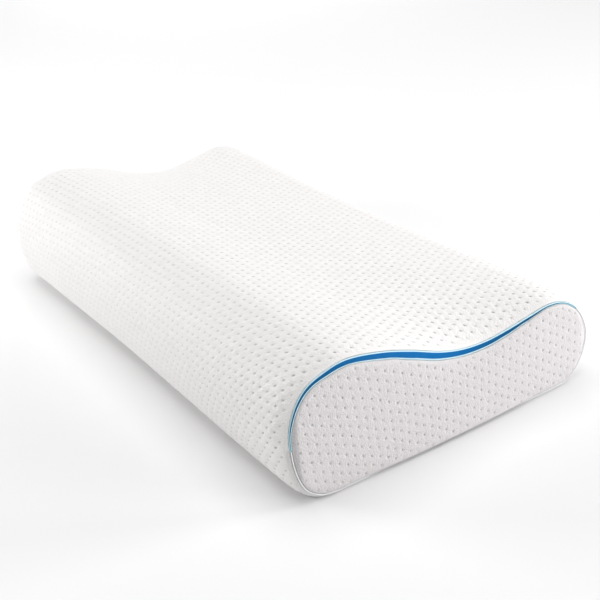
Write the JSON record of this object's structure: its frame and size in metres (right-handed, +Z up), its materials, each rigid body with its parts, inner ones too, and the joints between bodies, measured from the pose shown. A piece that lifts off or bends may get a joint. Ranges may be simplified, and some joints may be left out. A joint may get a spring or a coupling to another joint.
{
  "type": "cervical pillow",
  "caption": "Contour neck pillow: a filled body with a tall lobe, a valley and a low lobe in dimpled white knit, with end panels, a tapered blue strip and thin cord in the end seams.",
  "frame": {"origin": "middle of the flat base", "axes": "+X along the pillow to the right end, +Y from the tall lobe to the low lobe, +Z up"},
  "size_m": [0.6134, 0.3507, 0.1303],
  "materials": {
    "wrap_knit": "matt dimpled knit",
    "panel_knit": "matt dimpled knit",
    "blue_strip": "smooth woven strip",
    "seam_cord": "fine matt cord"
  },
  "bodies": {
    "root": {"pillow_body": "wrap_knit", "end_panel_right": "panel_knit", "end_panel_left": "panel_knit", "band_right": "blue_strip", "band_left": "blue_strip", "piping_right": "seam_cord", "piping_left": "seam_cord"}
  },
  "joints": []
}
